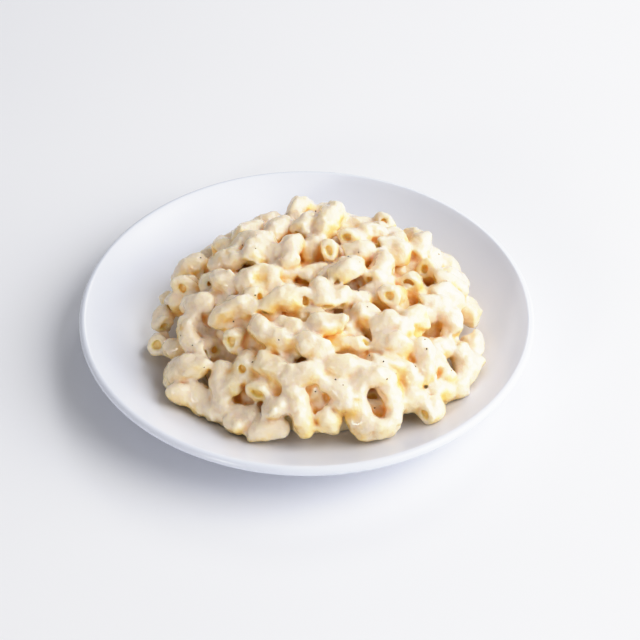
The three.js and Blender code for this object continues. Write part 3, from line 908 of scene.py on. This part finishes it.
def pepper(heap):
    """Flakes of ground pepper. The placed ones lie where the sight line through their pixel meets
    the heap, and the others have fallen straight down on it. Each is a ball flattened along the
    surface's normal, whose radius swells and shrinks three times and twice around."""
    turn = rng.uniform(0, 2 * math.pi, MORE_SPECKS)
    away = SPECK_REACH * np.sqrt(rng.uniform(0, 1, MORE_SPECKS))
    strewn = np.stack([HEAP_X + away * np.cos(turn), HEAP_Y + away * np.sin(turn)], 1)
    tree = BVHTree.FromObject(heap, bpy.context.evaluated_depsgraph_get())
    rays = [sight_line(*pixel) for pixel in SPECK_PIXELS]
    rays += [(Vector((x, y, FALL_FROM)) * MM, Vector((0, 0, -1))) for x, y in strewn]
    hits = (tree.ray_cast(*ray) for ray in rays)
    seats = np.array([(*(hit[0] / MM), *hit[1]) for hit in hits if hit[0] is not None])
    place, normal = seats[:, :3], seats[:, 3:]
    along = unit(np.cross(normal, rng.standard_normal(normal.shape)))
    across = np.cross(normal, along)
    count = len(seats)
    size = rng.uniform(*SPECK_RADIUS, count)[:, None, None]
    phase = rng.uniform(0, 2 * math.pi, (2, count, 1, 1))
    tilt = np.linspace(0, math.pi, SPECK_RINGS + 2)[1:-1, None]
    angle = np.linspace(0, 2 * math.pi, SPECK_SEGMENTS, endpoint=False)
    swell = 1 + SPECK_SWELL * np.cos(3 * angle + phase[0])
    swell = swell + SPECK_SWELL * np.cos(2 * angle + phase[1])
    level = size * swell * np.sin(tilt)
    rise = np.broadcast_to(SPECK_FLATNESS * size * np.cos(tilt), level.shape)
    parts = (level * np.cos(angle), level * np.sin(angle), rise)
    ways = (along, across, normal)
    rings = sum(part[..., None] * way[:, None, None] for part, way in zip(parts, ways))
    poles = SPECK_FLATNESS * size * normal[:, None] * np.array([1, -1])[:, None]
    points = np.concatenate([rings.reshape(count, -1, 3), poles], 1) + place[:, None]
    triangles = ball_triangles(SPECK_RINGS, SPECK_SEGMENTS)
    shift = points.shape[1] * np.arange(count)[:, None, None]
    return mesh_object("pepper_specks", points.reshape(-1, 3), (triangles + shift).reshape(-1, 3))


# ---------------------------------------------------------------- finishes

# The Mix node's sockets for colours.
MIX_PART = 0
MIX_ONE = 6
MIX_OTHER = 7
MIX_RESULT = 2


class Wire:
    """One socket of a finish. Arithmetic on it adds a Math node."""

    def __init__(self, finish, socket):
        self.finish, self.socket = finish, socket

    def math(self, operation, *sides):
        return self.finish.node("ShaderNodeMath", {"operation": operation}, dict(enumerate(sides)))

    def __add__(self, other):
        return self.math("ADD", self, other)

    def __radd__(self, other):
        return self.math("ADD", other, self)

    def __sub__(self, other):
        return self.math("SUBTRACT", self, other)

    def __rsub__(self, other):
        return self.math("SUBTRACT", other, self)

    def __mul__(self, other):
        return self.math("MULTIPLY", self, other)

    def __rmul__(self, other):
        return self.math("MULTIPLY", other, self)

    def __truediv__(self, other):
        return self.math("DIVIDE", self, other)

    def clamped(self):
        return self.finish.node("ShaderNodeClamp", {}, {0: self})


class Finish:
    """A material being made: every node but arithmetic comes from node()."""

    def __init__(self, name):
        self.material = bpy.data.materials.new(name)
        self.material.use_nodes = True
        self.tree = self.material.node_tree
        self.shader = self.tree.nodes["Principled BSDF"]

    def node(self, kind, settings, inputs, output=0):
        """Adds a node of a kind, sets it, fills its sockets with values or wires, and returns the
        wire of one output."""
        node = self.tree.nodes.new(kind)
        for key, value in settings.items():
            setattr(node, key, value)
        for key, value in inputs.items():
            self.feed(node.inputs[key], value)
        return Wire(self, node.outputs[output])

    def feed(self, socket, value):
        if isinstance(value, Wire):
            self.tree.links.new(value.socket, socket)
        else:
            socket.default_value = value

    def sets(self, **values):
        """Values or wires for the shader's own sockets, with spaces written as underscores."""
        for key, value in values.items():
            self.feed(self.shader.inputs[key.replace("_", " ")], value)

    def place(self):
        return self.node("ShaderNodeTexCoord", {}, {}, "Object")

    def kept(self, name, output="Fac"):
        return self.node("ShaderNodeAttribute", {"attribute_name": name}, {}, output)

    def noise(self, per_metre, detail=3.0, roughness=0.5):
        """Rolling noise from 0 to 1, with a number of waves to the metre."""
        inputs = {"Vector": self.place(), "Scale": per_metre, "Detail": detail}
        inputs["Roughness"] = roughness
        return self.node("ShaderNodeTexNoise", {}, inputs, "Fac")

    def axes(self, vector):
        """The three numbers of a vector."""
        node = self.node("ShaderNodeSeparateXYZ", {}, {"Vector": vector}).socket.node
        return [Wire(self, output) for output in node.outputs]

    def mixed(self, part, one, other):
        """A colour between two, with the part that the other has in it."""
        inputs = {MIX_PART: part, MIX_ONE: one, MIX_OTHER: other}
        return self.node("ShaderNodeMix", {"data_type": "RGBA"}, inputs, MIX_RESULT)

    def bump(self, height, strength, distance, normal=None):
        inputs = {"Height": height, "Strength": strength, "Distance": distance}
        if normal is not None:
            inputs["Normal"] = normal
        return self.node("ShaderNodeBump", {}, inputs)


def linear(red, green, blue):
    """A colour given as 0 to 255 on a screen, as the linear colour that nodes hold."""
    parts = [c / 255 for c in (red, green, blue)]
    return (*[c / 12.92 if c <= 0.04045 else ((c + 0.055) / 1.055) ** 2.4 for c in parts], 1.0)


# Faint ridges along a noodle, counted around it.
RIDGES = 28.0


def sauced_pasta():
    """Cooked pasta in cheese sauce: pale cream where sauce lies thick, yellower on the bare noodle
    and, partly as painted shade, on steep sides; painted shade in amber in the hollows, creases and
    downward faces; a painted glow in the bores; glossy, with faint ridges."""
    finish = Finish("sauced_pasta")
    names = ("sauce", "bore", "hollow", "crease", "upward", "tint")
    sauce, bore, hollow, crease, upward, tint = (finish.kept(name) for name in names)
    lumps = finish.noise(150.0, 3.0, 0.5)
    patches = finish.noise(70.0, 3.0, 0.55)
    curds = finish.noise(420.0, 3.0, 0.6)

    # Bare noodle, yellower: under thin sauce and in patches, and on steep sides, where it is partly
    # bare noodle and partly painted shade on the sides that face less upwards.
    cream, noodle = linear(253, 229, 206), linear(254, 226, 184)
    bare = 0.3 * (1 - sauce) + 0.8 * (0.55 - upward) + 2.5 * (patches - 0.5) + 0.25 * tint
    colour = finish.mixed(bare.clamped(), cream, noodle)

    # Painted shade in amber: in hollows and creases and on what faces down, where less light falls;
    # amber in patches is the noodle's own varying tone. Painted deeper shade far down in the
    # hollows.
    amber = 0.55 * hollow + 0.3 * (crease - 0.3) + 0.8 * (0.25 - upward)
    amber = amber + 3.6 * (patches - 0.5) + 1.6 * (lumps - 0.5)
    colour = finish.mixed(amber.clamped(), colour, linear(248, 206, 116))
    # Painted deeper shade: darker orange far down in the hollows.
    deep = (hollow - 0.62) * 2.6
    colour = finish.mixed(deep.clamped(), colour, linear(240, 182, 88))
    # Painted glow: the bores are bright yellow, partly the bare pasta inside them and partly painted
    # light, as if shining through the noodle's wall.
    colour = finish.mixed((bore * 0.95).clamped(), colour, linear(255, 228, 108))
    film = (0.22 + 0.3 * (lumps - 0.5) + 0.1 * (1 - sauce)).clamped()

    outwards, aside, _ = finish.axes(finish.kept("around", "Vector"))
    turn = aside.math("ARCTAN2", aside, outwards)
    ridge = turn.math("COSINE", turn * RIDGES)
    ridge = ridge * (1 - sauce) * (1 - bore) * (0.25 + patches)
    normal = finish.bump(ridge, 0.12, 0.0002)
    normal = finish.bump(lumps, 0.7, 0.0014, normal)
    normal = finish.bump(curds, 0.7, 0.0007, normal)
    normal = finish.bump(finish.noise(1000.0, 2.0, 0.5), 0.3, 0.0002, normal)
    finish.sets(Base_Color=colour, Roughness=film, Normal=normal, Subsurface_Weight=0.92,
                Subsurface_Radius=(0.85, 0.78, 0.48), Subsurface_Scale=0.005, IOR=1.47,
                Coat_Weight=0.55, Coat_Roughness=0.11, Coat_IOR=1.4)
    return finish.material


# How high the bare body of the foot ring reaches, in metres.
BARE_FOOT = 0.0006


def porcelain():
    """Glazed white porcelain: a faint orange peel in the glaze, and a bare, rougher body under
    the foot ring."""
    finish = Finish("porcelain")
    height = finish.axes(finish.place())[2]
    bare = (1 - (height / BARE_FOOT)).clamped()
    cloud = finish.noise(30.0, 2.0)
    colour = finish.mixed(cloud, linear(225, 229, 241), linear(232, 236, 247))
    colour = finish.mixed(bare, colour, linear(222, 217, 208))
    rough = (0.2 + 0.08 * cloud + 0.4 * bare).clamped()
    normal = finish.bump(finish.noise(90.0, 2.0), 0.06, 0.0006)
    finish.sets(Base_Color=colour, Roughness=rough, Normal=normal, IOR=1.5)
    return finish.material


def ground_pepper():
    """Ground peppercorn: nearly black husk with paler, rough broken faces."""
    finish = Finish("ground_pepper")
    broken = ((finish.noise(1600.0, 2.0, 0.6) - 0.45) * 6.0).clamped()
    colour = finish.mixed(broken, linear(52, 38, 27), linear(128, 102, 72))
    normal = finish.bump(finish.noise(3000.0, 2.0, 0.6), 0.5, 0.0002)
    finish.sets(Base_Color=colour, Roughness=0.55 + 0.3 * broken, Normal=normal)
    return finish.material


def floor_paper():
    """The pale floor: nearly white, with a very slight mottle."""
    finish = Finish("pale_floor")
    mottle = finish.noise(6.0, 3.0)
    colour = finish.mixed(mottle, linear(238, 239, 244), linear(242, 243, 248))
    finish.sets(Base_Color=colour, Roughness=0.75, Specular_IOR_Level=0.2)
    return finish.material


# ---------------------------------------------------------------- stage, light and camera

# The view that the heap is made to be seen from.
VIEW_ELEVATION = 41.62
VIEW_ROLL = 0.541
VIEW_AIM = (6.396, -10.252, 24.0)
VIEW_DISTANCE = 850.0
VIEW_FOCAL = 99.52
VIEW_SENSOR = 36.0
VIEW_PIXELS = 640
VIEW_END = 50.0

# Lights, all at one distance in metres: name, azimuth, elevation, size, power and colour.
LIGHT_DISTANCE = 1.5
LIGHTS = (
    ("window", 84, 37, 1.6, 32.6, (1.0, 0.995, 0.985)),
    ("back_glow", 165, 38, 0.35, 2.8, (1.0, 1.0, 1.0)),
    ("low_fill", -35, 18, 0.22, 4.4, (1.0, 0.98, 0.95)),
)
ROOM_LIGHT = 0.262
ROOM_COLOUR = (0.99, 0.99, 1.0, 1)
FLOOR_HALF = 4000.0

# How the picture holds light brighter than white: brightness that comes in, and what it becomes.
BRIGHTEST = 2.0
SHOULDER = ((0.4, 0.4), (0.7, 0.715), (0.9, 0.88), (1.1, 0.955), (1.4, 0.99))


def view():
    """The camera's place in metres, then its ways right, up and ahead: it looks along +Y and down
    at the aim, rolled a little."""
    elevation, roll = math.radians(VIEW_ELEVATION), math.radians(VIEW_ROLL)
    ahead = Vector((0, math.cos(elevation), -math.sin(elevation)))
    level_up = Vector((0, math.sin(elevation), math.cos(elevation)))
    right = Vector((1, 0, 0)) * math.cos(roll) + level_up * math.sin(roll)
    up = level_up * math.cos(roll) - Vector((1, 0, 0)) * math.sin(roll)
    return (Vector(VIEW_AIM) - ahead * VIEW_DISTANCE) * MM, right, up, ahead


def sight_line(column, row):
    """Where a pixel's sight line starts, and its way: ahead, and aside by the pixel's distance
    from the picture's middle, times the sensor's width over the focal length."""
    place, right, up, ahead = view()
    middle = (VIEW_PIXELS - 1) / 2
    pixel = VIEW_SENSOR / VIEW_FOCAL / VIEW_PIXELS
    way = ahead + right * (column - middle) * pixel + up * (middle - row) * pixel
    return place, way.normalized()


def camera():
    """The camera of the front view."""
    place, right, up, ahead = view()
    data = bpy.data.cameras.new("camera")
    data.lens = VIEW_FOCAL
    data.sensor_width = VIEW_SENSOR
    data.clip_end = VIEW_END
    obj = linked("camera", data)
    turned = Matrix((right, up, -ahead)).transposed()
    obj.matrix_world = Matrix.Translation(place) @ turned.to_4x4()
    bpy.context.scene.camera = obj


def soft_light(name, azimuth, elevation, size, power, colour):
    """A square light that faces the heap from an azimuth (0 is along +Y from the diner's side,
    so 90 is from the right) and an elevation."""
    a, e = math.radians(azimuth), math.radians(elevation)
    way = Vector((math.sin(a) * math.cos(e), -math.cos(a) * math.cos(e), math.sin(e)))
    data = bpy.data.lights.new(name, "AREA")
    data.shape = "SQUARE"
    data.size = size
    data.energy = power
    data.color = colour
    obj = linked(name, data)
    obj.location = way * LIGHT_DISTANCE
    obj.rotation_euler = way.to_track_quat("Z", "Y").to_euler()


def soft_shoulder():
    """Lets the brightest tones run gently to white: straight at first, then along a curve."""
    view = bpy.context.scene.view_settings
    view.view_transform = "Standard"
    view.use_curve_mapping = True
    mapping = view.curve_mapping
    mapping.white_level = (BRIGHTEST,) * 3
    for brightness, shown in SHOULDER:
        mapping.curves[3].points.new(brightness / BRIGHTEST, shown)
    mapping.update()


def surroundings():
    """Even pale light from everywhere."""
    world = bpy.data.worlds.new("pale_room")
    world.use_nodes = True
    background = world.node_tree.nodes["Background"]
    background.inputs["Color"].default_value = ROOM_COLOUR
    background.inputs["Strength"].default_value = ROOM_LIGHT
    bpy.context.scene.world = world


def floor():
    """A wide level sheet under the plate."""
    corners = np.array([(-1, -1, 0), (1, -1, 0), (1, 1, 0), (-1, 1, 0)]) * FLOOR_HALF
    obj = mesh_object("floor", corners, np.array([[0, 1, 2, 3]]), smooth=False)
    obj.data.materials.append(floor_paper())


# ---------------------------------------------------------------- putting it together

heap = macaroni()
heap.data.materials.append(sauced_pasta())
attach(heap, "root")
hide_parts("macaroni_heap")

specks = pepper(heap)
specks.data.materials.append(ground_pepper())
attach(specks, "root")

dish = plate()
dish.data.materials.append(porcelain())
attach(dish, "root")
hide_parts("plate")

floor()
camera()
surroundings()
for light in LIGHTS:
    soft_light(*light)
soft_shoulder()
